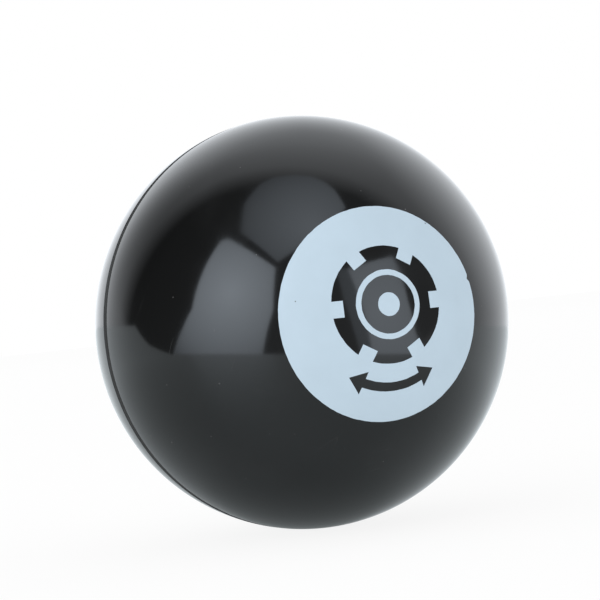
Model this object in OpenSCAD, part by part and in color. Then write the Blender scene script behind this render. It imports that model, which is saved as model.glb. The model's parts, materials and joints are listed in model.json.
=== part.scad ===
// Inflatable friction ball for turning screw-down watch case backs.
// Frame: +Z up, origin at the ball's centre. Y is the moulding axis: the print is at the -Y pole,
// the needle valve is at the +Y pole, and the two halves part on the XZ plane.

/* [Ball] */
// Outside diameter of the ball
ball_d = 65; // [54:1:80]
// Thickness of the rubber wall
wall = 4.5; // [3.6:0.1:6]

/* [Parting joint] */
// Length of the front half's lip inside the rear half
lip_length = 2.4; // [1.6:0.1:3.6]
// Thickness of that lip, measured from the inside of the wall
lip_thickness = 2.1; // [1.5:0.1:2.6]
// Width of the chamfer round the outer edge of each rim
rim_chamfer = 0.35; // [0.1:0.05:0.45]

/* [Cement] */
// Thickness of every line of rubber cement
cement_line = 0.25; // [0.15:0.05:0.4]
// How far the cement stops short of the outer surface
cement_setback = 0.6; // [0.5:0.05:0.9]
// Clearance between a bonded piece and what it is bonded to
bond_gap = 0.02; // [0.01:0.01:0.05]

/* [Valve] */
// Radius of the guide that the inflating needle slides into
needle_guide_r = 1.25; // [1:0.05:1.6]
// Radius of the funnel at the mouth of the guide
funnel_r = 2.1; // [1.8:0.1:2.6]
// Depth of the funnel, from the plug's rim
funnel_depth = 0.9; // [0.5:0.1:1.4]
// Radius of the plug's shank, in the wall
shank_r = 3.6; // [3.2:0.1:4.6]
// Radius of the plug's flange, inside the ball
flange_r = 6.6; // [5.8:0.1:7.6]
// Thickness of the flange
flange_thickness = 2.2; // [1.6:0.1:3]
// Length of the plug's nose, behind the flange
nose_length = 3.2; // [2.4:0.1:4.4]
// Radius of the nose at its closed tip
nose_tip_r = 2.4; // [2.2:0.1:2.8]
// Thickness of the closed, slit end of the guide
slit_wall = 1.3; // [0.9:0.1:1.8]
// Rubber round the flange's seat
seat_margin = 1.6; // [0.8:0.1:2.6]
// Height of the seat's boss above the inside of the wall, at the pole
boss_height = 2.2; // [1.8:0.1:3]
// Width of the chamfer on the plug's edges and on the mouth of its bore
plug_chamfer = 0.25; // [0.1:0.05:0.4]

/* [Print] */
// Radius of the printed roundel
roundel_r = 15.6; // [14:0.1:18]
// Thickness of the ink
ink_thickness = 0.1; // [0.05:0.05:0.2]
// Radius of the case-back mark, which is left open in the ink
mark_r = 8.5; // [7:0.1:9.2]
// Height of the mark's centre above the roundel's centre
mark_up = 1.2; // [0.6:0.1:1.8]
// Number of wrench notches round the mark
notches = 6; // [4:1:8]
// Width of a notch
notch_w = 2.4; // [1.6:0.1:3]
// Depth of a notch
notch_depth = 1.7; // [1:0.1:2.2]
// Middle radius of the printed ring inside the mark
ring_r = 4.6; // [4:0.1:5]
// Width of that ring
ring_w = 0.8; // [0.5:0.1:1.2]
// Radius of the printed hub inside the ring
hub_r = 1.7; // [1:0.1:2.4]
// Middle radius of the turning arrow below the mark
arrow_r = 10.6; // [10:0.1:11.2]
// Width of the arrow's line
arrow_w = 1.3; // [0.8:0.1:1.6]
// Half of the angle that the arrow's line covers
arrow_half_angle = 25; // [18:1:32]
// Length of an arrow head
head_length = 2.4; // [1.6:0.1:3]
// Width of an arrow head
head_w = 3.4; // [2.4:0.1:3.8]

/* [Hidden] */
$fn = 144;

ball_r = ball_d / 2;
cavity_r = ball_r - wall;
mid_wall_r = ball_r - wall / 2;
lip_r = cavity_r + lip_thickness;
half_line = cement_line / 2;

bore_r = shank_r + cement_line;
seat_z = cavity_r - boss_height;
boss_r = flange_r + seat_margin;
flange_top = seat_z - cement_line;
flange_bottom = flange_top - flange_thickness;
nose_z = flange_bottom - nose_length;
guide_end_z = nose_z + slit_wall;
shank_rim_z = sqrt(ball_r ^ 2 - shank_r ^ 2);
funnel_rim_z = sqrt(ball_r ^ 2 - funnel_r ^ 2);
guide_top_z = funnel_rim_z - funnel_depth;

ink_bottom_r = ball_r + bond_gap;
ink_top_r = ink_bottom_r + ink_thickness;
// Long enough to pass right through the ball, and how far a cutter passes the face that it cuts.
reach = 2 * ball_r;
overlap = 0.1;

black_rubber = "#17181b";
gum_rubber = "#26241f";
cement_grey = "#3a3b3f";
pale_ink = "#c5d9e8";

// Stands a shape made with its pole along +Z on the rear pole, along +Y.
module at_rear_pole() {
    rotate([-90, 0, 0]) children();
}

// Stands a shape made with its pole along +Z on the front pole, with its +Y up.
module at_front_pole() {
    rotate([90, 0, 0]) children();
}

// Section through the wall on the positive side of the axis, from a height up to the pole.
module wall_section(from_z, within_r) {
    intersection() {
        difference() {
            circle(ball_r);
            circle(cavity_r);
        }
        translate([0, from_z]) square([within_r, reach]);
    }
}

// Triangle that breaks the outer edge of a rim that faces down at the parting line.
module rim_edge_cut() {
    edge_r = sqrt(ball_r ^ 2 - half_line ^ 2);
    polygon([
        [edge_r - rim_chamfer, half_line - overlap],
        [edge_r - rim_chamfer, half_line],
        [edge_r, half_line + rim_chamfer],
        [edge_r + overlap, half_line + rim_chamfer],
        [edge_r + overlap, half_line - overlap]
    ]);
}

// Rubber half with the print, whose inner lip laps into the rear half.
module front_half_shell() {
    color(black_rubber) at_front_pole() rotate_extrude() difference() {
        union() {
            wall_section(half_line, reach);
            wall_section(-lip_length, lip_r);
        }
        rim_edge_cut();
    }
}

// Rubber half with the valve seat, rebated for the front half's lip.
module rear_half_shell() {
    rebate_r = lip_r + cement_line;
    rebate_z = lip_length + cement_line;
    mouth_z = sqrt(ball_r ^ 2 - bore_r ^ 2);
    color(black_rubber) at_rear_pole() rotate_extrude() difference() {
        union() {
            wall_section(half_line, reach);
            intersection() {
                translate([0, seat_z]) square([boss_r, reach]);
                circle(mid_wall_r);
            }
        }
        square([rebate_r, rebate_z]);
        rim_edge_cut();
        translate([0, seat_z - overlap]) square([bore_r, reach]);
        polygon([
            [bore_r - overlap, mouth_z - plug_chamfer],
            [bore_r, mouth_z - plug_chamfer],
            [bore_r + plug_chamfer, mouth_z],
            [bore_r + plug_chamfer, mouth_z + overlap],
            [bore_r - overlap, mouth_z + overlap]
        ]);
    }
}

// Cement between the halves: butt line, sleeve round the lip, and line at the lip's end.
module seam_cement() {
    line = cement_line - 2 * bond_gap;
    color(cement_grey) at_rear_pole() rotate_extrude() union() {
        translate([lip_r + bond_gap, bond_gap - half_line])
            square([ball_r - cement_setback - lip_r - bond_gap, line]);
        translate([lip_r + bond_gap, bond_gap - half_line])
            square([line, lip_length + cement_line + half_line - 2 * bond_gap]);
        difference() {
            translate([0, lip_length + bond_gap]) square([lip_r + cement_line - bond_gap, line]);
            circle(cavity_r);
        }
    }
}

// Soft plug that closes round the needle: shank in the wall, flange and nose inside the ball.
module valve_plug() {
    color(gum_rubber) at_rear_pole() rotate_extrude() difference() {
        intersection() {
            polygon([
                [0, nose_z],
                [nose_tip_r, nose_z],
                [shank_r, flange_bottom],
                [flange_r - plug_chamfer, flange_bottom],
                [flange_r, flange_bottom + plug_chamfer],
                [flange_r, flange_top - plug_chamfer],
                [flange_r - plug_chamfer, flange_top],
                [shank_r, flange_top],
                [shank_r, shank_rim_z - plug_chamfer],
                [shank_r - plug_chamfer, shank_rim_z],
                [shank_r - plug_chamfer, ball_r + overlap],
                [0, ball_r + overlap]
            ]);
            circle(ball_r);
        }
        translate([0, guide_end_z]) square([needle_guide_r, reach]);
        polygon([
            [0, guide_top_z],
            [needle_guide_r, guide_top_z],
            [funnel_r, funnel_rim_z],
            [funnel_r, ball_r + overlap],
            [0, ball_r + overlap]
        ]);
    }
}

// Cement round the shank and under the flange.
module valve_cement() {
    line = cement_line - 2 * bond_gap;
    color(cement_grey) at_rear_pole() rotate_extrude() translate([shank_r + bond_gap, 0]) union() {
        translate([0, flange_top + bond_gap])
            square([line, shank_rim_z - cement_setback - flange_top]);
        translate([0, flange_top + bond_gap])
            square([flange_r - plug_chamfer - shank_r - bond_gap, line]);
    }
}

// Outline of a notched screw-down case back.
module case_back_outline() {
    difference() {
        circle(mark_r);
        for (i = [0 : notches - 1])
            rotate(i * 360 / notches)
                translate([mark_r - notch_depth, -notch_w / 2]) square([notch_depth + overlap, notch_w]);
    }
}

// Outline of a curved arrow with a head at each end, below the roundel's centre.
module turning_arrow_outline() {
    spread = reach * tan(arrow_half_angle);
    intersection() {
        difference() {
            circle(arrow_r + arrow_w / 2);
            circle(arrow_r - arrow_w / 2);
        }
        polygon([[0, 0], [-spread, -reach], [spread, -reach]]);
    }
    for (side = [-1, 1])
        rotate(side * arrow_half_angle) translate([0, -arrow_r]) polygon([
            [-side * overlap, head_w / 2],
            [side * head_length, 0],
            [-side * overlap, -head_w / 2]
        ]);
}

// Layer of ink on the front pole, in the shape of a flat outline seen from the front.
module ink_layer() {
    color(pale_ink) at_front_pole() intersection() {
        rotate_extrude() intersection() {
            difference() {
                circle(ink_top_r);
                circle(ink_bottom_r);
            }
            square([roundel_r, reach]);
        }
        linear_extrude(reach) children();
    }
}

// Printed field of the roundel, with the mark and the arrow left open.
module roundel_print() {
    ink_layer() difference() {
        circle(reach);
        translate([0, mark_up]) case_back_outline();
        turning_arrow_outline();
    }
}

// Printed ring inside the mark.
module mark_ring_print() {
    ink_layer() translate([0, mark_up]) difference() {
        circle(ring_r + ring_w / 2);
        circle(ring_r - ring_w / 2);
    }
}

// Printed hub inside the ring.
module mark_hub_print() {
    ink_layer() translate([0, mark_up]) circle(hub_r);
}

front_half_shell();
rear_half_shell();
seam_cement();
valve_plug();
valve_cement();
roundel_print();
mark_ring_print();
mark_hub_print();
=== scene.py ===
import json
import math

import bmesh
import bpy
from bpy.props import FloatProperty, FloatVectorProperty, IntProperty, PointerProperty
from mathutils import Matrix, Vector, noise


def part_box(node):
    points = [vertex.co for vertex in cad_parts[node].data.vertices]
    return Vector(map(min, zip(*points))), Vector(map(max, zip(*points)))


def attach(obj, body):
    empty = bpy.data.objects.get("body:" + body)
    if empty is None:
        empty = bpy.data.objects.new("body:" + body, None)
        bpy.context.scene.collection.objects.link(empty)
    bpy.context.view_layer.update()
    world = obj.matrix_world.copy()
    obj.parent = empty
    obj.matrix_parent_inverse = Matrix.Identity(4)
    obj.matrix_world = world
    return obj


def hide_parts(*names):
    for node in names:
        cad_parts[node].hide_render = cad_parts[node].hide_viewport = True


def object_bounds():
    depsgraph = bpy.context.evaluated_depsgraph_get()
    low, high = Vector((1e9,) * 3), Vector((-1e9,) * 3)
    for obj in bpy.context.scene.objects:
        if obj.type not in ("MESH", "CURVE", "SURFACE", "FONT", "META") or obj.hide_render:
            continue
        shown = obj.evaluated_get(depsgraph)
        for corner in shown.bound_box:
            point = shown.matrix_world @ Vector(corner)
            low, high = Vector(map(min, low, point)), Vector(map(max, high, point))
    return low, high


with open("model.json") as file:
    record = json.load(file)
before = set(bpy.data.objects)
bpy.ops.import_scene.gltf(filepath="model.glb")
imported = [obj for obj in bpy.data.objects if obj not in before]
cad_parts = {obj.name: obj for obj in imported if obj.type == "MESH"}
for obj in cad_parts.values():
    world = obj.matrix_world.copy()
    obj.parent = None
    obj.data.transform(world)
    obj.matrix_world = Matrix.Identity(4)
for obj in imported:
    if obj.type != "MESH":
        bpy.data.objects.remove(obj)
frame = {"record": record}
CAD_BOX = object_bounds()

bl_info = {
    "name": "Case Opening Friction Ball",
    "version": (1, 0, 0),
    "blender": (4, 5, 0),
    "location": "3D View > Sidebar > Friction Ball",
    "description": "Builds an inflatable rubber friction ball for watch case backs, and its studio",
    "category": "Object",
}

MM = 0.001
FULL_TURN = 2 * math.pi
MERGE = 1e-7          # points closer than this are one point
BALL_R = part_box("front_half_shell")[1].x
LIP_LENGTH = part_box("front_half_shell")[1].y
HALF_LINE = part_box("rear_half_shell")[0].y
CEMENT_OUTER_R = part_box("seam_cement")[1].x
FLANGE_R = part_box("valve_plug")[1].x
NOSE_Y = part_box("valve_plug")[0].y
VALVE_CEMENT_LOW, VALVE_CEMENT_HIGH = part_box("valve_cement")
ROUNDEL_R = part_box("roundel_print")[1].x
RING_LOW, RING_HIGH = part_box("mark_ring_print")
HUB_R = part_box("mark_hub_print")[1].x
MARK_UP = (RING_LOW.z + RING_HIGH.z) / 2
INLET = next(m for m in frame["record"]["mounts"] if m["name"] == "needle_inlet")
GUIDE_R = INLET["dims"]["r_mm"] * MM
GUIDE_HALF = INLET["dims"]["length_mm"] * MM / 2
GUIDE_Y = INLET["pos_m"][1]


def length(text, default, low=0.0, high=1.0):
    """A distance setting in metres."""
    return FloatProperty(name=text.split(":")[0], description=text.split(": ")[1], default=default,
                         min=low, max=high, unit="LENGTH", subtype="DISTANCE", precision=5)


def angle(text, degrees):
    """An angle setting, given in degrees."""
    return FloatProperty(name=text.split(":")[0], description=text.split(": ")[1],
                         default=math.radians(degrees), unit="ROTATION", subtype="ANGLE")


def colour(text, default):
    """A linear colour setting."""
    return FloatVectorProperty(name=text.split(":")[0], description=text.split(": ")[1], default=default,
                               size=3, min=0.0, max=1.0, subtype="COLOR")


def amount(text, default, high=10.0):
    """A plain number setting."""
    return FloatProperty(name=text.split(":")[0], description=text.split(": ")[1], default=default,
                         min=0.0, max=high)


def count(text, default):
    """A whole number setting."""
    return IntProperty(name=text.split(":")[0], description=text.split(": ")[1], default=default, min=3)


class ShellSettings(bpy.types.PropertyGroup):
    """Sizes of the two rubber halves and the joint between them."""
    radius: length("Ball radius: Outside radius of the ball", BALL_R)
    wall: length("Wall: Thickness of the rubber", 4.5 * MM)
    lip_thickness: length("Lip thickness: Thickness of the front half's inner lip", 2.1 * MM)
    front_groove: length("Front groove: Width of the parting groove in the front half", 1.0 * MM)
    rear_groove: length("Rear groove: Width of the parting groove in the rear half", 0.2 * MM)
    groove_depth: length("Groove depth: Depth of the parting groove", 0.6 * MM)
    rim_rounding: length("Rim rounding: Radius on the edges of the groove", 0.08 * MM)
    rim_wave: length("Rim wave: How far the trimmed rims wander", 0.06 * MM)
    edge_rounding: length("Edge rounding: Radius on the hidden edges", 0.25 * MM)
    boss_margin: length("Boss margin: Rubber round the valve's flange", 1.6 * MM)
    segments: count("Segments: Steps round the ball", 288)
    rings: count("Rings: Steps from a pole to the rim", 96)


class ValveSettings(bpy.types.PropertyGroup):
    """Sizes of the needle valve's plug."""
    shank_radius: length("Shank radius: Radius of the plug in the wall", 3.6 * MM)
    flange_thickness: length("Flange thickness: Thickness of the flange inside the ball", 2.2 * MM)
    nose_radius: length("Nose radius: Radius of the nose at its tip", 2.4 * MM)
    funnel_radius: length("Funnel radius: Radius of the mouth that leads the needle in", 2.1 * MM)
    rounding: length("Rounding: Radius on the plug's edges", 0.22 * MM)
    segments: count("Segments: Steps round the plug", 96)


class PrintSettings(bpy.types.PropertyGroup):
    """Sizes of the printed roundel, its open mark and its open arrow."""
    thickness: length("Ink thickness: Thickness of the ink", 0.05 * MM)
    edge_wave: length("Edge wave: How far the printed edges wander", 0.035 * MM)
    mark_radius: length("Mark radius: Radius of the case back mark", 8.5 * MM)
    notches: count("Notches: Wrench notches round the mark", 6)
    notch_width: length("Notch width: Width of a wrench notch", 2.4 * MM)
    notch_depth: length("Notch depth: Depth of a wrench notch", 1.7 * MM)
    ring_width: length("Ring width: Width of the printed ring", 0.8 * MM)
    arrow_radius: length("Arrow radius: Middle radius of the turning arrow", 10.6 * MM)
    arrow_width: length("Arrow width: Width of the arrow's line", 1.3 * MM)
    arrow_half_angle: angle("Arrow half angle: Half of the angle that the line covers", 25)
    head_length: length("Head length: Length of an arrow head", 2.4 * MM)
    head_width: length("Head width: Width of an arrow head", 3.4 * MM)
    chip_depth: length("Chip depth: Depth of the small chip in the roundel's edge", 0.35 * MM)
    chip_bearing: angle("Chip bearing: Where the chip is, up from the right", 14)
    mesh_pitch: length("Mesh pitch: Width of the facets that follow the ball", 0.7 * MM)


class FinishSettings(bpy.types.PropertyGroup):
    """Colours and gloss of the materials."""
    rubber: colour("Rubber: Colour of the glossy shell", (0.0032, 0.0034, 0.0034))
    rubber_roughness: amount("Rubber roughness: Roughness of the clean shell", 0.095, 1.0)
    dust: colour("Dust: Colour of dust and scuffs on the rubber", (0.30, 0.31, 0.31))
    plug: colour("Plug: Colour of the soft gum plug", (0.016, 0.0145, 0.013))
    cement: colour("Cement: Colour of the dried cement", (0.006, 0.006, 0.0065))
    ink: colour("Ink: Colour of the print", (0.515, 0.645, 0.75))


class StudioSettings(bpy.types.PropertyGroup):
    """Where the camera stands, and how the studio round the ball is lit."""
    azimuth: angle("Azimuth: Camera's bearing round the ball", -22.9)
    elevation: angle("Elevation: Camera's height above the horizon", 0.0)
    roll: angle("Roll: How far the ball leans to the left in view", 6.3)
    distance: length("Distance: From the ball's centre to the camera", 308 * MM, 0.1, 5.0)
    lens: amount("Lens: Focal length in millimetres on a 36 mm sensor", 116.9, 500.0)
    aim_up: length("Aim up: How far above the centre the camera aims", 3.5 * MM)
    aim_left: length("Aim left: How far left of the centre the camera aims", 0.3 * MM)
    room_dark: amount("Room: Brightness of the dark room in front of the ball", 0.2)
    world_fill: amount("Fill: Strength of the even light from all round", 0.95)
    key_power: amount("Key: Power of the soft lamp above and to the left, in watts", 0.9)


# Each soft box: its name, the bearings of its corners, that of its hot spot, its strength and its fade.
# A bearing is in degrees right of the camera and above it, as seen from the ball.
SOFT_BOXES = (
    ("left_soft_box",
     ((-15, 28), (-15, 6), (-18, -4), (-22, -20), (-80, -20), (-66, -3), (-60, 6), (-57, 26),
      (-54, 39), (-50, 41)),
     (-38, 15), 4.65, 0.8),
    ("top_soft_box",
     ((-14, 31), (-43, 45), (-57, 60), (-67, 72), (-67, 78), (-36, 84), (32, 83), (46, 77), (46, 71),
      (41, 60), (20, 47)),
     (8, 50), 2.2, 0.85),
    ("right_soft_box",
     ((26, 27), (32, 6), (40, -22), (75, -22), (62, -4), (58, 10), (56, 31)),
     (40, 5), 2.75, 0.35),
    ("right_side_flap",
     ((19, 28), (22, 11), (27, -4), (34, -22), (40, -22), (32, 6), (26, 27)),
     (30, 5), 1.0, 0.2),
)


class Wire:
    """An output socket of a shader node. Arithmetic on it adds Math nodes."""

    def __init__(self, graph, socket):
        self.graph = graph
        self.socket = socket

    def math(self, operation, *values, clamp=False):
        settings = {"operation": operation, "use_clamp": clamp}
        return self.graph.node("ShaderNodeMath", settings, dict(enumerate(values)))

    def __add__(self, other):
        return self.math("ADD", self, other)

    def __sub__(self, other):
        return self.math("SUBTRACT", self, other)

    def __mul__(self, other):
        return self.math("MULTIPLY", self, other)

    def __truediv__(self, other):
        return self.math("DIVIDE", self, other)

    def __rsub__(self, other):
        return self.math("SUBTRACT", other, self)

    def __abs__(self):
        return self.math("ABSOLUTE", self)

    def __lt__(self, other):
        return self.math("LESS_THAN", self, other)

    __radd__ = __add__
    __rmul__ = __mul__

    def clamped(self):
        return self.math("ADD", self, 0.0, clamp=True)


class Graph:
    """The node tree of a material or of the world, and the one way nodes are added to it."""

    def __init__(self, owner, output_type):
        owner.use_nodes = True
        self.tree = owner.node_tree
        self.tree.nodes.clear()
        self.output = self.tree.nodes.new(output_type)

    def node(self, kind, settings=None, inputs=None, output=0):
        """Adds a node, sets it up, fills or links its sockets, and returns one of its outputs."""
        made = self.tree.nodes.new(kind)
        for name, value in (settings or {}).items():
            setattr(made, name, value)
        for key, value in (inputs or {}).items():
            self.feed(made.inputs[key], value)
        return Wire(self, made.outputs[output])

    def feed(self, socket, value):
        if isinstance(value, Wire):
            self.tree.links.new(value.socket, socket)
        else:
            socket.default_value = value

    def finish(self, shader):
        self.feed(self.output.inputs["Surface"], shader)

    def place(self, stretch=1.0, turn=(0, 0, 0)):
        """Object coordinates, turned, with what lies along the turned Z axis drawn out."""
        coordinates = self.node("ShaderNodeTexCoord", output="Object")
        settings = {"vector_type": "TEXTURE"}
        return self.node("ShaderNodeMapping", settings,
                         {"Vector": coordinates, "Rotation": turn, "Scale": (1, 1, stretch)})

    def away(self):
        """Distance from the object's own origin."""
        return self.node("ShaderNodeVectorMath", {"operation": "LENGTH"}, {0: self.place()}, "Value")

    def noise(self, wavelength, detail=2.0, vector=None):
        """Soft noise from 0 to 1 whose features are about a wavelength apart, in metres."""
        vector = vector or self.place()
        return self.node("ShaderNodeTexNoise", {"noise_dimensions": "3D"},
                         {"Vector": vector, "Scale": 1 / wavelength, "Detail": detail}, "Fac")

    def specks(self, spacing, radius, share):
        """Round specks of up to a radius, in a share of the cells of a random pattern."""
        inputs = {"Vector": self.place(), "Scale": 1 / spacing}
        distance = self.node("ShaderNodeTexVoronoi", {}, inputs, "Distance")
        chance = self.node("ShaderNodeTexVoronoi", {}, inputs, "Color")
        lot = self.node("ShaderNodeSeparateColor", {}, {0: chance}, 0)
        size = self.node("ShaderNodeSeparateColor", {}, {0: chance}, 1)
        edge = radius / spacing * (0.4 + 0.6 * size)
        return ((edge - distance) * (2 * spacing / radius)).clamped() * (lot < share)

    def hairlines(self, wavelength, turn, cover):
        """Sparse fine scratches along a turned Z axis, where the surface runs along it."""
        vector = self.place(14.0, turn)
        line = (1 - abs(self.noise(wavelength, 0.0, vector) - 0.5) / 0.008).clamped()
        patch = ((self.noise(2.5 * wavelength, 1.0) - cover) * 14.0).clamped()
        height = self.node("ShaderNodeSeparateXYZ", {}, {0: self.place(1.0, turn)}, "Z")
        side = (1.2 - 2.6 / BALL_R * abs(height)).clamped()
        return line * patch * side

    def mix(self, share, first, second):
        """A colour between two colours."""
        settings = {"data_type": "RGBA", "blend_type": "MIX"}
        return self.node("ShaderNodeMix", settings, {0: share, 6: first, 7: second}, 2)

    def bump(self, height, strength=1.0):
        """A normal from a height in metres."""
        return self.node("ShaderNodeBump", {}, {"Strength": strength, "Distance": 1.0, "Height": height})


def rgba(values):
    """A colour with full opacity."""
    return (*values, 1.0)


def cool_white(tint):
    """White light, made bluer by a small tint."""
    return (1 - tint, 1 - 0.2 * tint, 1 + 0.7 * tint, 1.0)


def new_material(name):
    """An empty node material and its graph."""
    material = bpy.data.materials.new(name)
    return material, Graph(material, "ShaderNodeOutputMaterial")


def glossy_rubber():
    """Moulded black rubber: glossy and faintly wavy, with dust, smears, scratches and a matt groove."""
    finish = bpy.context.scene.friction_ball_finish
    shell = bpy.context.scene.friction_ball_shell
    material, graph = new_material("glossy_black_rubber")
    dust = (graph.specks(3.0 * MM, 0.16 * MM, 0.6) + graph.specks(1.7 * MM, 0.09 * MM, 0.35)).clamped()
    scratches = (graph.hairlines(2.6 * MM, (0.5, 0.2, 0.3), 0.62)
                 + graph.hairlines(2.1 * MM, (1.3, 0.9, 1.1), 0.64))
    smear = graph.noise(6 * MM, 3.0)
    film = ((graph.noise(11 * MM, 4.0) - 0.55) * 6.0).clamped()
    wave = graph.noise(5 * MM, 1.0)
    grain = graph.noise(0.35 * MM, 2.0)
    along = graph.node("ShaderNodeSeparateXYZ", {}, {0: graph.place()}, "Y")
    sunk = graph.away() < shell.radius - shell.rim_rounding
    trimmed = (abs(along) < 2 * shell.front_groove) * sunk
    caught = trimmed * (0.16 + 0.2 * smear)
    marks = (0.5 * dust + 0.06 * scratches + 0.006 * film + caught).clamped()
    base = graph.mix(marks, rgba(finish.rubber), rgba(finish.dust))
    rough = finish.rubber_roughness + 0.05 * (smear - 0.5) + 0.05 * film
    rough = (rough + 0.3 * dust + 0.1 * scratches + 0.35 * trimmed).clamped()
    height = 0.0035 * MM * wave + 0.00012 * MM * grain
    graph.finish(graph.node("ShaderNodeBsdfPrincipled", {}, {
        "Base Color": base, "Roughness": rough, "IOR": 1.5, "Normal": graph.bump(height)}))
    return material


def dried_cement():
    """Dried rubber cement: dark and satin, with small bubbles."""
    finish = bpy.context.scene.friction_ball_finish
    material, graph = new_material("dried_rubber_cement")
    bubbles = graph.specks(0.5 * MM, 0.12 * MM, 0.5)
    streaks = graph.noise(0.8 * MM, 3.0)
    light = tuple(1.8 * c for c in finish.cement)
    graph.finish(graph.node("ShaderNodeBsdfPrincipled", {}, {
        "Base Color": graph.mix(streaks, rgba(finish.cement), rgba(light)),
        "Roughness": 0.45 + 0.25 * streaks, "IOR": 1.45,
        "Normal": graph.bump(0.02 * MM * streaks - 0.03 * MM * bubbles)}))
    return material


def soft_gum():
    """Soft gum rubber: satin and slightly brown, with fine grain and a trace of bloom."""
    finish = bpy.context.scene.friction_ball_finish
    material, graph = new_material("soft_gum_rubber")
    bloom = graph.noise(1.6 * MM, 4.0)
    grain = graph.noise(0.12 * MM, 2.0)
    dust = graph.specks(1.6 * MM, 0.09 * MM, 0.16)
    pale = tuple(min(1.0, 2.2 * c) for c in finish.plug)
    base = graph.mix(bloom, rgba(finish.plug), rgba(pale))
    graph.finish(graph.node("ShaderNodeBsdfPrincipled", {}, {
        "Base Color": graph.mix(0.5 * dust, base, rgba(finish.dust)),
        "Roughness": 0.34 + 0.22 * bloom, "IOR": 1.5,
        "Normal": graph.bump(0.004 * MM * grain + 0.01 * MM * bloom)}))
    return material


def pad_ink():
    """Pale printing ink: satin, slightly uneven, with a few pinholes where the rubber shows."""
    finish = bpy.context.scene.friction_ball_finish
    material, graph = new_material("pale_print_ink")
    cloud = graph.noise(5 * MM, 3.0)
    grain = graph.noise(0.25 * MM, 2.0)
    pinholes = graph.specks(2.2 * MM, 0.18 * MM, 0.4)
    thin = tuple(0.9 * c for c in finish.ink)
    base = graph.mix(cloud, rgba(finish.ink), rgba(thin))
    graph.finish(graph.node("ShaderNodeBsdfPrincipled", {}, {
        "Base Color": graph.mix(pinholes, base, rgba(finish.rubber)),
        "Roughness": 0.46 + 0.10 * cloud, "IOR": 1.45,
        "Normal": graph.bump(0.0008 * MM * grain + 0.004 * MM * graph.noise(4.5 * MM, 1.0))}))
    return material


def material_for(maker):
    """The material that a function makes, made once and then shared."""
    made = bpy.context.scene.get("friction_ball_materials") or {}
    name = made.get(maker.__name__)
    if name is None:
        material = maker()
        bpy.context.scene["friction_ball_materials"] = {**dict(made), maker.__name__: material.name}
        return material
    return bpy.data.materials[name]


def add_piece(bm, name, node, material):
    """Turns a finished bmesh into a piece that rides on the ball and stands for a CAD node."""
    bm.normal_update()
    mesh = bpy.data.meshes.new(name)
    bm.to_mesh(mesh)
    bm.free()
    mesh.materials.append(material_for(material))
    mesh.shade_smooth()
    mesh.set_sharp_from_angle(angle=math.radians(40))
    piece = bpy.data.objects.new(name, mesh)
    bpy.context.scene.collection.objects.link(piece)
    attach(piece, "root")
    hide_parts(node)
    return piece


def section_start(bm, radius, y):
    """First point of a section: a distance from the Y axis and a place along it."""
    return bm.verts.new((0.0, y, radius))


def section_to(bm, start, *points):
    """Straight lines from a point of the section through more points, each (radius, y)."""
    for radius, y in points:
        end = bm.verts.new((0.0, y, radius))
        bm.edges.new((start, end))
        start = end
    return start


def section_arc(bm, start, sweep, steps):
    """Arc of the section about the ball's centre."""
    made = bmesh.ops.spin(bm, geom=[start], cent=(0, 0, 0), axis=(1, 0, 0), angle=sweep, steps=steps)
    return next(g for g in made["geom_last"] if isinstance(g, bmesh.types.BMVert))


def turn_section(bm, segments):
    """Turns the section once round the Y axis, and closes its poles and its seam."""
    for vert in bm.verts:
        if abs(vert.co.z) < MERGE:
            vert.co.z = 0.0
    bmesh.ops.spin(bm, geom=bm.verts[:] + bm.edges[:], cent=(0, 0, 0), axis=(0, 1, 0),
                   angle=FULL_TURN, steps=segments, use_merge=True)
    bmesh.ops.remove_doubles(bm, verts=bm.verts, dist=MERGE)
    bmesh.ops.recalc_face_normals(bm, faces=bm.faces)


def round_ring(bm, radius, y, rounding, segments=4):
    """Rounds the edge that runs round the Y axis at a radius and a place along it."""
    near = 1e-6

    def on_ring(vert):
        return abs(math.hypot(vert.co.x, vert.co.z) - radius) < near and abs(vert.co.y - y) < near

    edges = [e for e in bm.edges if on_ring(e.verts[0]) and on_ring(e.verts[1])]
    if not edges:
        raise RuntimeError(f"no edge runs round the axis at radius {radius:.5f} and y {y:.5f}")
    bmesh.ops.bevel(bm, geom=edges, offset=rounding, offset_type="OFFSET", affect="EDGES",
                    segments=segments, profile=0.5, material=-1)


def off_axis(radius, distance):
    """How far along the axis a sphere's surface lies, at a distance from the axis."""
    return math.sqrt(radius ** 2 - distance ** 2)


def wave_rim(bm, shell):
    """Lets the trimmed rim wander a little, as hand trimming leaves it."""
    reach = 2.0 * MM
    for vert in bm.verts:
        radius = math.hypot(vert.co.x, vert.co.z)
        if abs(vert.co.y) < reach and radius > shell.radius - reach:
            groove = shell.rear_groove if vert.co.y > 0 else shell.front_groove
            fade = min(1.0, (reach - abs(vert.co.y)) / (reach - HALF_LINE - groove))
            half = Vector((0, math.copysign(3.1, vert.co.y), 0))
            around = Vector((vert.co.x, 0, vert.co.z)) / radius
            wander = noise.noise(around * 5 + half) + 0.6 * noise.noise(around * 23 + half)
            vert.co.y += shell.rim_wave * fade * wander


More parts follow.
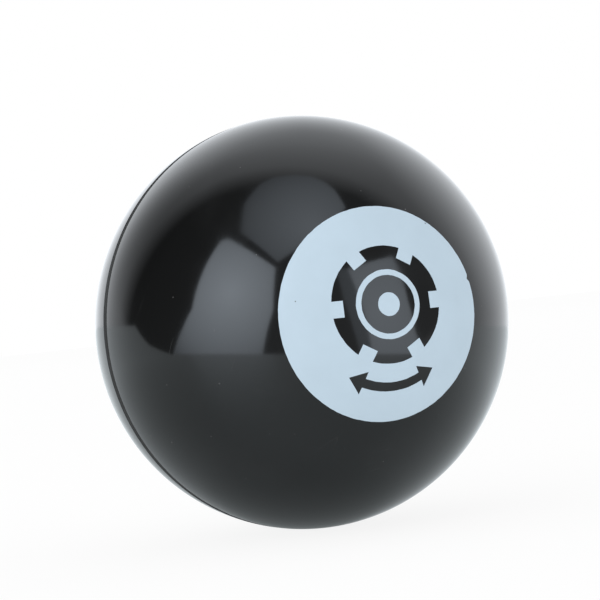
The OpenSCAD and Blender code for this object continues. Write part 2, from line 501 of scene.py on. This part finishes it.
class FRICTION_BALL_OT_front_half(bpy.types.Operator):
    """Make the printed rubber half, whose inner lip laps into the other half"""
    bl_idname = "friction_ball.front_half"
    bl_label = "Front Half"

    def execute(self, context):
        shell = context.scene.friction_ball_shell
        cavity = shell.radius - shell.wall
        lip_r = cavity + shell.lip_thickness
        rim_y = HALF_LINE + shell.front_groove
        rim_r = off_axis(shell.radius, rim_y)
        groove_r = shell.radius - shell.groove_depth
        near_rim = 2 * shell.rim_rounding / shell.radius
        sweep = math.acos(rim_y / shell.radius)
        bm = bmesh.new()
        point = section_start(bm, 0.0, -shell.radius)
        point = section_arc(bm, point, near_rim - sweep, shell.rings)
        point = section_arc(bm, point, -near_rim, 1)
        point = section_to(bm, point, (groove_r, -rim_y), (groove_r, -HALF_LINE),
                           (lip_r, -HALF_LINE), (lip_r, LIP_LENGTH),
                           (off_axis(cavity, LIP_LENGTH), LIP_LENGTH))
        section_arc(bm, point, math.pi / 2 + math.asin(LIP_LENGTH / cavity), shell.rings // 2)
        turn_section(bm, shell.segments)
        round_ring(bm, rim_r, -rim_y, shell.rim_rounding)
        round_ring(bm, groove_r, -HALF_LINE, shell.rim_rounding)
        round_ring(bm, lip_r, LIP_LENGTH, shell.edge_rounding)
        round_ring(bm, off_axis(cavity, LIP_LENGTH), LIP_LENGTH, shell.edge_rounding)
        wave_rim(bm, shell)
        add_piece(bm, "front_half", "front_half_shell", glossy_rubber)
        return {"FINISHED"}


class FRICTION_BALL_OT_rear_half(bpy.types.Operator):
    """Make the plain rubber half, with the valve's bore and seat at its pole"""
    bl_idname = "friction_ball.rear_half"
    bl_label = "Rear Half"

    def execute(self, context):
        shell = context.scene.friction_ball_shell
        valve = context.scene.friction_ball_valve
        line = 2 * HALF_LINE
        cavity = shell.radius - shell.wall
        rim_y = HALF_LINE + shell.rear_groove
        rim_r = off_axis(shell.radius, rim_y)
        groove_r = shell.radius - shell.groove_depth
        rebate_r = cavity + shell.lip_thickness + line
        rebate_y = LIP_LENGTH + line
        bore_r = valve.shank_radius + line
        mouth_y = off_axis(shell.radius, bore_r)
        boss_r = FLANGE_R + shell.boss_margin
        boss_root_y = off_axis(cavity, boss_r)
        seat_y = VALVE_CEMENT_LOW.y + line
        near_rim = 2 * shell.rim_rounding / shell.radius
        sweep = math.acos(rim_y / shell.radius) - math.asin(bore_r / shell.radius)
        inner_sweep = math.acos(rebate_y / cavity) - math.asin(boss_r / cavity)
        bm = bmesh.new()
        mouth = section_start(bm, bore_r, mouth_y)
        point = section_arc(bm, mouth, sweep - near_rim, shell.rings)
        point = section_arc(bm, point, near_rim, 1)
        point = section_to(bm, point, (groove_r, rim_y), (groove_r, HALF_LINE),
                           (rebate_r, HALF_LINE), (rebate_r, rebate_y),
                           (off_axis(cavity, rebate_y), rebate_y))
        point = section_arc(bm, point, -inner_sweep, shell.rings // 2)
        point = section_to(bm, point, (boss_r, seat_y), (bore_r, seat_y))
        bm.edges.new((point, mouth))
        turn_section(bm, shell.segments)
        round_ring(bm, rim_r, rim_y, shell.rim_rounding)
        round_ring(bm, groove_r, HALF_LINE, shell.rim_rounding)
        round_ring(bm, bore_r, mouth_y, valve.rounding)
        round_ring(bm, boss_r, seat_y, shell.edge_rounding)
        round_ring(bm, boss_r, boss_root_y, shell.edge_rounding)
        wave_rim(bm, shell)
        add_piece(bm, "rear_half", "rear_half_shell", glossy_rubber)
        return {"FINISHED"}


class FRICTION_BALL_OT_seam_cement(bpy.types.Operator):
    """Make the line of cement between the two halves, a little below the surface"""
    bl_idname = "friction_ball.seam_cement"
    bl_label = "Seam Cement"

    def execute(self, context):
        shell = context.scene.friction_ball_shell
        cavity = shell.radius - shell.wall
        low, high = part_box("seam_cement")
        gap = HALF_LINE + low.y
        inner_r = cavity + shell.lip_thickness + gap
        sleeve_r = inner_r + 2 * (HALF_LINE - gap)
        end_y = LIP_LENGTH + gap
        bm = bmesh.new()
        start = section_start(bm, inner_r, low.y)
        point = section_to(bm, start, (CEMENT_OUTER_R, low.y), (CEMENT_OUTER_R, -low.y),
                           (sleeve_r, -low.y), (sleeve_r, high.y), (off_axis(cavity, high.y), high.y),
                           (off_axis(cavity, end_y), end_y), (inner_r, end_y))
        bm.edges.new((point, start))
        turn_section(bm, shell.segments)
        round_ring(bm, CEMENT_OUTER_R, low.y, 0.09 * MM, 3)
        round_ring(bm, CEMENT_OUTER_R, -low.y, 0.09 * MM, 3)
        for vert in bm.verts:
            radius = math.hypot(vert.co.x, vert.co.z)
            if radius > CEMENT_OUTER_R - 0.2 * MM:
                squeeze = 1 + 0.05 * MM / radius * noise.noise(vert.co * 900)
                vert.co.x *= squeeze
                vert.co.z *= squeeze
        add_piece(bm, "parting_cement", "seam_cement", dried_cement)
        return {"FINISHED"}


class FRICTION_BALL_OT_valve(bpy.types.Operator):
    """Make the self-sealing plug and the cement that holds it"""
    bl_idname = "friction_ball.valve"
    bl_label = "Needle Valve"

    def plug(self, shell, valve):
        guide_end = GUIDE_Y - GUIDE_HALF
        guide_top = GUIDE_Y + GUIDE_HALF
        face_r = shell.radius - 0.02 * MM
        funnel_y = off_axis(face_r, valve.funnel_radius)
        shank_y = off_axis(face_r, valve.shank_radius)
        flange_top = VALVE_CEMENT_LOW.y - 0.02 * MM
        flange_bottom = flange_top - valve.flange_thickness
        face_sweep = math.asin(valve.shank_radius / face_r) - math.asin(valve.funnel_radius / face_r)
        bm = bmesh.new()
        point = section_start(bm, 0.0, guide_end)
        point = section_to(bm, point, (GUIDE_R, guide_end), (GUIDE_R, guide_top),
                           (valve.funnel_radius, funnel_y))
        point = section_arc(bm, point, face_sweep, 8)
        section_to(bm, point, (valve.shank_radius, flange_top), (FLANGE_R, flange_top),
                   (FLANGE_R, flange_bottom), (valve.shank_radius, flange_bottom),
                   (valve.nose_radius, NOSE_Y), (0.0, NOSE_Y))
        turn_section(bm, valve.segments)
        for radius, y in ((GUIDE_R, guide_top), (valve.funnel_radius, funnel_y),
                          (valve.shank_radius, shank_y), (FLANGE_R, flange_top),
                          (FLANGE_R, flange_bottom), (valve.shank_radius, flange_bottom),
                          (valve.nose_radius, NOSE_Y)):
            round_ring(bm, radius, y, valve.rounding)
        add_piece(bm, "needle_plug", "valve_plug", soft_gum)

    def cement(self, valve):
        low, high = VALVE_CEMENT_LOW, VALVE_CEMENT_HIGH
        gap = 0.02 * MM
        inner_r = valve.shank_radius + gap
        line = 2 * HALF_LINE - 2 * gap
        bm = bmesh.new()
        start = section_start(bm, inner_r, low.y)
        point = section_to(bm, start, (high.x, low.y), (high.x, low.y + line),
                           (inner_r + line, low.y + line), (inner_r + line, high.y), (inner_r, high.y))
        bm.edges.new((point, start))
        turn_section(bm, valve.segments)
        round_ring(bm, inner_r + line, high.y, 0.06 * MM, 3)
        round_ring(bm, high.x, low.y, 0.06 * MM, 3)
        round_ring(bm, high.x, low.y + line, 0.06 * MM, 3)
        add_piece(bm, "plug_cement", "valve_cement", dried_cement)

    def execute(self, context):
        scene = context.scene
        self.plug(scene.friction_ball_shell, scene.friction_ball_valve)
        self.cement(scene.friction_ball_valve)
        return {"FINISHED"}


def front_circle(bm, radius, up=0.0, steps=240):
    """Circle seen from the front, about a centre on the roundel's upright line."""
    place = Matrix.Translation((0, 0, up)) @ Matrix.Rotation(math.pi / 2, 4, "X")
    bmesh.ops.create_circle(bm, cap_ends=False, segments=steps, radius=radius, matrix=place)


def front_arc(bm, start, up, sweep, steps):
    """Arc seen from the front, about a centre on the roundel's upright line."""
    made = bmesh.ops.spin(bm, geom=[start], cent=(0, 0, up), axis=(0, -1, 0), angle=sweep, steps=steps)
    return next(g for g in made["geom_last"] if isinstance(g, bmesh.types.BMVert))


def case_back_outline(bm, ink):
    """Outline of a notched screw-down case back, repeated notch by notch round its centre."""
    before = set(bm.verts)
    half = ink.notch_width / 2
    floor = ink.mark_radius - ink.notch_depth
    side = off_axis(ink.mark_radius, half)
    pitch = FULL_TURN / ink.notches
    corners = [bm.verts.new((x, 0.0, MARK_UP + z))
               for x, z in ((floor, -half), (floor, half), (side, half))]
    for first, second in zip(corners, corners[1:]):
        bm.edges.new((first, second))
    outer = front_arc(bm, corners[-1], MARK_UP, pitch - 2 * math.asin(half / ink.mark_radius), 24)
    turned = Matrix.Rotation(-pitch, 3, "Y") @ Vector((floor, 0.0, -half))
    bm.edges.new((outer, bm.verts.new(turned + Vector((0, 0, MARK_UP)))))
    sector = [v for v in bm.verts if v not in before]
    geom = sector + [e for e in bm.edges if e.verts[0] in sector and e.verts[1] in sector]
    bmesh.ops.spin(bm, geom=geom, cent=(0, 0, MARK_UP), axis=(0, -1, 0), use_duplicate=True,
                   angle=FULL_TURN - pitch, steps=ink.notches - 1)
    bmesh.ops.remove_doubles(bm, verts=[v for v in bm.verts if v not in before], dist=1e-6)


def turning_arrow_outline(bm, ink):
    """Outline of a curved arrow with two heads: its right half, then the mirror image."""
    before = set(bm.verts)
    turn = Matrix.Rotation(-ink.arrow_half_angle, 3, "Y")
    outer_r = ink.arrow_radius + ink.arrow_width / 2
    inner_r = ink.arrow_radius - ink.arrow_width / 2
    head = [(0, ink.arrow_radius + ink.head_width / 2), (ink.head_length, ink.arrow_radius),
            (0, ink.arrow_radius - ink.head_width / 2), (0, inner_r)]
    point = front_arc(bm, bm.verts.new((0, 0, -outer_r)), 0.0, ink.arrow_half_angle, 20)
    for along, radius in head:
        corner = bm.verts.new(turn @ Vector((along, 0.0, -radius)))
        bm.edges.new((point, corner))
        point = corner
    front_arc(bm, point, 0.0, -ink.arrow_half_angle, 20)
    fresh = [v for v in bm.verts if v not in before]
    geom = fresh + [e for e in bm.edges if e.verts[0] in fresh]
    bmesh.ops.mirror(bm, geom=geom, axis="X", merge_dist=1e-6)
    bmesh.ops.remove_doubles(bm, verts=[v for v in bm.verts if v not in before], dist=1e-6)


def roughen_outline(bm, ink):
    """Lets printed edges wander a little, and takes a chip out of the roundel's edge."""
    chip_reach = 0.035
    for vert in bm.verts:
        across = Vector((vert.co.x, 0, vert.co.z))
        shift = noise.noise_vector(vert.co * 1400) * ink.edge_wave
        vert.co += Vector((shift.x, 0, shift.z))
        if across.length > 0.99 * ROUNDEL_R:
            off = abs(math.atan2(vert.co.z, vert.co.x) - ink.chip_bearing)
            bite = max(0.0, 1 - off / chip_reach)
            vert.co -= across.normalized() * ink.chip_depth * bite


def lay_ink(bm, ink):
    """Fills the outlines, cuts the flat ink finely enough to follow the ball, and lays it on."""
    bmesh.ops.triangle_fill(bm, use_beauty=True, edges=bm.edges, normal=(0, -1, 0))
    pitch = ink.mesh_pitch
    half_count = math.ceil(ROUNDEL_R / pitch)
    for axis in (Vector((1, 0, 0)), Vector((0, 0, 1))):
        for step in range(-half_count, half_count + 1):
            bmesh.ops.bisect_plane(bm, geom=bm.verts[:] + bm.edges[:] + bm.faces[:], dist=MERGE,
                                   plane_co=axis * (step + 0.37) * pitch, plane_no=axis)
    for vert in bm.verts:
        vert.co.y = -off_axis(BALL_R + 0.005 * MM, math.hypot(vert.co.x, vert.co.z))
    bmesh.ops.recalc_face_normals(bm, faces=bm.faces)
    if sum(face.normal.y for face in bm.faces) > 0:
        bmesh.ops.reverse_faces(bm, faces=bm.faces)
    bmesh.ops.solidify(bm, geom=bm.faces[:], thickness=-ink.thickness)
    bmesh.ops.recalc_face_normals(bm, faces=bm.faces)


class FRICTION_BALL_OT_print(bpy.types.Operator):
    """Lay the printed roundel with its open mark and arrow, the ring and the hub"""
    bl_idname = "friction_ball.print"
    bl_label = "Print"

    def execute(self, context):
        ink = context.scene.friction_ball_print
        ring_r = (RING_HIGH.x - RING_LOW.x) / 2
        bm = bmesh.new()
        front_circle(bm, ROUNDEL_R, steps=360)
        case_back_outline(bm, ink)
        turning_arrow_outline(bm, ink)
        roughen_outline(bm, ink)
        lay_ink(bm, ink)
        add_piece(bm, "printed_roundel", "roundel_print", pad_ink)
        bm = bmesh.new()
        front_circle(bm, ring_r, MARK_UP)
        front_circle(bm, ring_r - ink.ring_width, MARK_UP)
        roughen_outline(bm, ink)
        lay_ink(bm, ink)
        add_piece(bm, "printed_ring", "mark_ring_print", pad_ink)
        bm = bmesh.new()
        front_circle(bm, HUB_R, MARK_UP, 120)
        roughen_outline(bm, ink)
        lay_ink(bm, ink)
        add_piece(bm, "printed_hub", "mark_hub_print", pad_ink)
        return {"FINISHED"}


class FRICTION_BALL_OT_studio(bpy.types.Operator):
    """Set up the pale floor, the soft boxes, the room and the camera"""
    bl_idname = "friction_ball.studio"
    bl_label = "Studio"

    def stage_piece(self, bm, name, material, place=None, glossy_only=False):
        """Adds a stage object, seen by everything or only in reflections."""
        mesh = bpy.data.meshes.new(name)
        bm.to_mesh(mesh)
        bm.free()
        mesh.materials.append(material)
        thing = bpy.data.objects.new(name, mesh)
        bpy.context.scene.collection.objects.link(thing)
        if place is not None:
            thing.matrix_world = place
        if glossy_only:
            for ray in ("camera", "diffuse", "transmission", "volume_scatter", "shadow"):
                setattr(thing, f"visible_{ray}", False)
        return thing

    def view_axes(self, studio):
        """The camera's right, up and back as the columns of a matrix."""
        a, e, r = studio.azimuth, studio.elevation, studio.roll
        back = Vector((math.sin(a) * math.cos(e), -math.cos(a) * math.cos(e), math.sin(e)))
        right = Vector((math.cos(a), math.sin(a), 0.0))
        up = back.cross(right)
        turned_right = math.cos(r) * right - math.sin(r) * up
        turned_up = math.sin(r) * right + math.cos(r) * up
        return Matrix((turned_right, turned_up, back)).transposed()

    def bearing(self, azimuth, elevation):
        """Unit vector in the camera's axes: degrees right of the camera and above it."""
        a, e = math.radians(azimuth), math.radians(elevation)
        return Vector((math.sin(a) * math.cos(e), math.sin(e), math.cos(a) * math.cos(e)))

    def floor_material(self):
        """Pale matt floor, shown nearly white to the camera so that only a soft shadow is left."""
        material, graph = new_material("pale_floor")
        matt = graph.node("ShaderNodeBsdfPrincipled", {}, {
            "Base Color": (0.9, 0.9, 0.9, 1.0), "Roughness": 0.9, "Specular IOR Level": 0.2})
        white = graph.node("ShaderNodeEmission", {}, {"Color": (1, 1, 1, 1), "Strength": 1.0})
        seen = graph.node("ShaderNodeLightPath", output="Is Camera Ray")
        glossy = graph.node("ShaderNodeLightPath", output="Is Glossy Ray")
        through = graph.node("ShaderNodeLightPath", output="Is Transmission Ray")
        share = 0.88 * (seen + glossy + through).clamped()
        graph.finish(graph.node("ShaderNodeMixShader", {}, {0: share, 1: matt, 2: white}))
        return material

    def table_material(self):
        """Satin table as the ball mirrors it, glowing with painted light of its own to fill the ball's
        shadow; the glow is dimmer near the ball, a painted shadow round its foot.
        """
        material, graph = new_material("satin_table")
        # Painted light and painted shadow: the glow is dimmest near the ball's foot and grows brighter
        # from 45 mm to 135 mm away from it.
        distant = ((graph.away() - 0.045) / 0.09).clamped()
        glow = graph.mix(distant, (0.22, 0.24, 0.245, 1.0), (0.46, 0.50, 0.52, 1.0))
        graph.finish(graph.node("ShaderNodeBsdfPrincipled", {}, {
            "Base Color": (0.345, 0.385, 0.40, 1.0), "Roughness": 0.42, "IOR": 1.9,
            "Emission Color": glow, "Emission Strength": 1.0}))
        return material

    def glow_material(self, name, strength, fade, distance):
        """Lit diffuser, brightest in front of its lamp and dimmer away from it."""
        material, graph = new_material(name)
        near = (1 - fade / distance * graph.away()).clamped()
        glow = graph.mix(near, (0.0, 0.0, 0.0, 1.0), cool_white(0.12))
        graph.finish(graph.node("ShaderNodeEmission", {}, {"Color": glow, "Strength": strength}))
        return material

    def soft_box(self, axes, name, corners, hot_spot, strength, fade, distance=0.6):
        """Flat diffuser, given by the bearings of its corners and its hot spot from the ball."""
        middle = self.bearing(*hot_spot)
        place = middle.to_track_quat("Z", "Y").to_matrix().to_4x4()
        place.translation = middle * distance
        local = place.inverted()
        bm = bmesh.new()
        rays = [self.bearing(*corner) for corner in corners]
        outline = [bm.verts.new(local @ (ray * (distance / ray.dot(middle)))) for ray in rays]
        for first, second in zip(outline, outline[1:] + outline[:1]):
            bm.edges.new((first, second))
        bmesh.ops.triangle_fill(bm, use_beauty=True, edges=bm.edges, normal=(0, 0, 1))
        material = self.glow_material(name + "_glow", strength, fade, distance)
        self.stage_piece(bm, name, material, axes.to_4x4() @ place, glossy_only=True)

    def room(self, axes, studio):
        """Walls that only reflections see: a dark room in front of the ball, white behind it."""
        material, graph = new_material("studio_walls")
        direction = graph.node("ShaderNodeVectorMath", {"operation": "NORMALIZE"},
                               {0: graph.node("ShaderNodeTexCoord", output="Object")})

        def toward(azimuth, elevation):
            aim = axes @ self.bearing(azimuth, elevation)
            return graph.node("ShaderNodeVectorMath", {"operation": "DOT_PRODUCT"},
                              {0: direction, 1: aim}, "Value")

        def beyond(facing, start, end):
            first = math.cos(math.radians(start))
            last = math.cos(math.radians(end))
            return ((first - facing) / (first - last)).clamped()

        def spot(azimuth, elevation, radius):
            return 1 - beyond(toward(azimuth, elevation), 0, radius)

        dark = studio.room_dark * (1 + 0.8 * toward(40, -25))
        front = toward(-10, -16)
        lit = beyond(front, 97, 109)
        walls = 0.65 * lit + 0.2 * beyond(front, 109, 130)
        sides = (0.3 + 2.2 * abs(toward(90, 0))).clamped()
        behind = 0.45 * beyond(toward(0, 0), 110, 155) * sides
        sweep = 0.55 * (10 * toward(164, -54) - 0.4).clamped() * (1 - lit)
        ceiling = 0.25 * spot(180, 80, 30)
        window = 0.35 * spot(131, 30, 28)
        backdrop = 0.2 * spot(-158, 20, 40)
        curtain = 0.35 * spot(-118, 28, 26)
        open_room = dark + walls + behind + sweep + ceiling + window + backdrop
        brightness = open_room * (1 - curtain)
        peak = 2.0
        glow = graph.mix(brightness / peak, (0.0, 0.0, 0.0, 1.0), cool_white(0.05))
        graph.finish(graph.node("ShaderNodeEmission", {}, {"Color": glow, "Strength": peak}))
        bm = bmesh.new()
        bmesh.ops.create_icosphere(bm, subdivisions=4, radius=5.0)
        bmesh.ops.reverse_faces(bm, faces=bm.faces)
        self.stage_piece(bm, "studio_room", material, glossy_only=True)

    def floor(self):
        """Wide pale floor that the ball stands on."""
        place = Matrix.Translation((0, 0, CAD_BOX[0].z))
        bm = bmesh.new()
        bmesh.ops.create_grid(bm, x_segments=8, y_segments=8, size=40.0)
        floor = self.stage_piece(bm, "studio_floor", self.floor_material(), place)
        for ray in ("glossy", "diffuse", "shadow"):
            setattr(floor, f"visible_{ray}", False)

    def table(self, axes):
        """Table with a rounded front edge, level in view, that only reflections see."""
        level = CAD_BOX[0].z
        lying = Matrix(((-1, 0, 0), (0, 0, 1), (0, 1, 0))).to_4x4()
        place = axes.to_4x4() @ Matrix.Translation((0, level + 0.02 * MM, 0)) @ lying
        bm = bmesh.new()
        set_back = 0.031
        radius = 0.155
        corner_y = 0.052
        right_side = ((0.22, 0.014), (1.5, -0.32), (1.5, -3.0))
        left_side = tuple((-x, y) for x, y in right_side)
        corner = math.asin((corner_y + set_back) / radius)
        start = bm.verts.new((radius * math.cos(corner), corner_y, 0.0))
        arc = bmesh.ops.spin(bm, geom=[start], cent=(0, -set_back, 0), axis=(0, 0, 1),
                             angle=math.pi - 2 * corner, steps=64)
        point = next(g for g in arc["geom_last"] if isinstance(g, bmesh.types.BMVert))
        for x, y in left_side + right_side[::-1]:
            following = bm.verts.new((x, y, 0.0))
            bm.edges.new((point, following))
            point = following
        bm.edges.new((point, start))
        bmesh.ops.triangle_fill(bm, use_beauty=True, edges=bm.edges, normal=(0, 0, 1))
        self.stage_piece(bm, "table_top", self.table_material(), place, glossy_only=True)

    def lamps(self, axes, studio):
        """Even light from all round, and one large soft lamp above and to the left."""
        world = bpy.data.worlds.new("studio_world")
        bpy.context.scene.world = world
        graph = Graph(world, "ShaderNodeOutputWorld")
        lighting = graph.node("ShaderNodeLightPath", output="Is Diffuse Ray")
        white = graph.mix(lighting, rgba((1, 1, 1)), rgba([studio.world_fill] * 3))
        graph.finish(graph.node("ShaderNodeBackground", {}, {"Color": white, "Strength": 1.0}))
        data = bpy.data.lights.new("key_lamp", "AREA")
        data.shape = "RECTANGLE"
        data.size, data.size_y = 0.5, 0.5
        data.energy = studio.key_power
        lamp = bpy.data.objects.new("key_lamp", data)
        bpy.context.scene.collection.objects.link(lamp)
        toward = axes @ self.bearing(-38, 22)
        aim = toward.to_track_quat("Z", "Y").to_matrix().to_4x4()
        lamp.matrix_world = Matrix.Translation(toward * 0.7) @ aim
        lamp.visible_glossy = False
        lamp.visible_camera = False

    def camera(self, axes, studio):
        """Camera level with the ball, to its left, rolled so that the print leans a little."""
        data = bpy.data.cameras.new("camera")
        data.sensor_width = 36.0
        data.lens = studio.lens
        data.clip_start, data.clip_end = 0.01, 100.0
        camera = bpy.data.objects.new("camera", data)
        bpy.context.scene.collection.objects.link(camera)
        right, up, back = (axes.col[i] for i in range(3))
        spot = back * studio.distance
        aim = up * studio.aim_up - right * studio.aim_left
        look = (spot - aim).normalized()
        side = up.cross(look).normalized()
        turn = Matrix((side, look.cross(side), look)).transposed()
        camera.matrix_world = Matrix.Translation(spot) @ turn.to_4x4()
        bpy.context.scene.camera = camera

    def execute(self, context):
        studio = context.scene.friction_ball_studio
        axes = self.view_axes(studio)
        self.floor()
        self.table(axes)
        self.room(axes, studio)
        for name, corners, hot_spot, strength, fade in SOFT_BOXES:
            self.soft_box(axes, name, corners, hot_spot, strength, fade)
        self.lamps(axes, studio)
        self.camera(axes, studio)
        context.scene.view_settings.view_transform = "Standard"
        return {"FINISHED"}


class FRICTION_BALL_PT_build(bpy.types.Panel):
    """Lists the ball's pieces and its studio"""
    bl_idname = "FRICTION_BALL_PT_build"
    bl_label = "Friction Ball"
    bl_space_type = "VIEW_3D"
    bl_region_type = "UI"
    bl_category = "Friction Ball"

    def draw(self, context):
        for operator in OPERATORS:
            self.layout.operator(operator.bl_idname)
        for name in SETTINGS:
            settings = getattr(context.scene, name)
            box = self.layout.box()
            for key in settings.__annotations__:
                box.prop(settings, key)


OPERATORS = (
    FRICTION_BALL_OT_front_half,
    FRICTION_BALL_OT_rear_half,
    FRICTION_BALL_OT_seam_cement,
    FRICTION_BALL_OT_valve,
    FRICTION_BALL_OT_print,
    FRICTION_BALL_OT_studio,
)
SETTINGS = {
    "friction_ball_shell": ShellSettings,
    "friction_ball_valve": ValveSettings,
    "friction_ball_print": PrintSettings,
    "friction_ball_finish": FinishSettings,
    "friction_ball_studio": StudioSettings,
}
CLASSES = (*SETTINGS.values(), *OPERATORS, FRICTION_BALL_PT_build)


def register():
    for cls in CLASSES:
        bpy.utils.register_class(cls)
    for name, settings in SETTINGS.items():
        setattr(bpy.types.Scene, name, PointerProperty(type=settings))


def unregister():
    for name in SETTINGS:
        delattr(bpy.types.Scene, name)
    for cls in reversed(CLASSES):
        bpy.utils.unregister_class(cls)


def main():
    """Builds every piece and the studio."""
    register()
    for operator in OPERATORS:
        group, name = operator.bl_idname.split(".")
        getattr(getattr(bpy.ops, group), name)()


if __name__ == "__main__":
    main()
